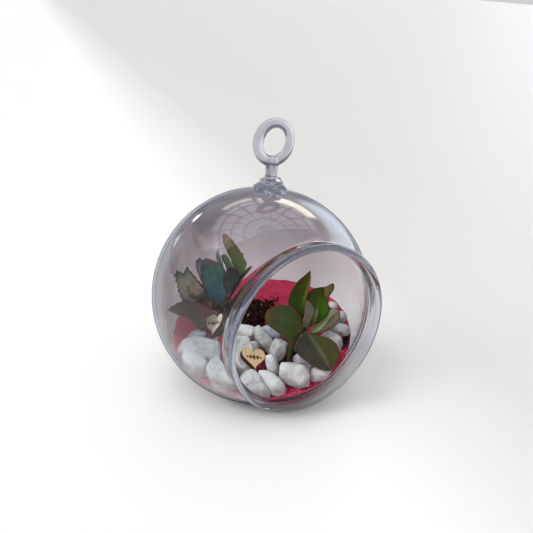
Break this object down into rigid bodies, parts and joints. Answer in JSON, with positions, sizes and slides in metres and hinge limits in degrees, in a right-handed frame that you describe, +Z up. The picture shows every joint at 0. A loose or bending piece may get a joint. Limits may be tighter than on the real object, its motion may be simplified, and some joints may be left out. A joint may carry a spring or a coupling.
{
  "type": "terrarium",
  "caption": "Open glass globe terrarium with a side mouth and hanging loop, holding crimson sand, white marble chips, soil, plywood hearts and succulents.",
  "frame": {"origin": "middle of the globe's flat foot, on the surface it stands on", "axes": "+Z up through the hanging loop; -Y out of the side mouth; +X to the right seen from the mouth"},
  "size_m": [0.1198, 0.1085, 0.1539],
  "materials": {
    "glass": "clear blown glass, fire-polished",
    "sand": "matt dyed quartz sand",
    "soil": "rough crumbly potting soil",
    "plywood": "laser-cut birch plywood with burnt edges",
    "marble_chip": "broken white marble, sugary",
    "marble_pebble": "tumbled white marble, satin",
    "grey_stone": "tumbled blue-grey marble, satin",
    "stem": "fibrous, matt",
    "front_leaf": "fleshy, waxy, red-brown margins",
    "back_leaf": "fleshy, waxy bloom, purple margins",
    "toothed_leaf": "dry, mottled, scaly"
  },
  "bodies": {
    "root": {"glass_globe": "glass", "hanging_loop": "glass", "sand_bed": "sand", "soil": "soil", "heart_front": "plywood", "heart_back": "plywood", "stone_01": "grey_stone", "stone_02": "marble_chip", "stone_03": "marble_pebble", "stone_04": "marble_chip", "stone_05": "marble_chip", "stone_06": "grey_stone", "stone_07": "marble_chip", "stone_08": "marble_chip", "stone_09": "marble_chip", "stone_10": "grey_stone", "stone_11": "marble_chip", "stone_12": "marble_chip", "stone_13": "marble_chip", "stone_14": "marble_pebble", "stone_15": "marble_chip", "stone_16": "marble_pebble", "stone_17": "marble_chip", "stone_18": "marble_pebble", "stone_19": "marble_chip", "stone_20": "marble_pebble", "stone_21": "marble_pebble", "stone_22": "marble_pebble", "stone_23": "marble_chip", "stone_24": "marble_chip", "front_stem": "stem", "back_stem": "stem", "toothed_stem": "stem", "front_leaf_upright": "front_leaf", "front_leaf_curled": "front_leaf", "front_leaf_bud_left": "front_leaf", "front_leaf_bud_right": "front_leaf", "front_leaf_broad": "front_leaf", "front_leaf_folded": "front_leaf", "front_leaf_keeled": "front_leaf", "front_leaf_rear": "front_leaf", "back_leaf_tall": "back_leaf", "back_leaf_slim": "back_leaf", "back_leaf_blue": "back_leaf", "back_leaf_sliver": "back_leaf", "back_leaf_pointed": "back_leaf", "back_leaf_small": "back_leaf", "back_leaf_inner": "back_leaf", "toothed_leaf_jagged": "toothed_leaf", "toothed_leaf_low": "toothed_leaf", "toothed_leaf_red": "toothed_leaf", "toothed_leaf_rear": "toothed_leaf"}
  },
  "joints": []
}
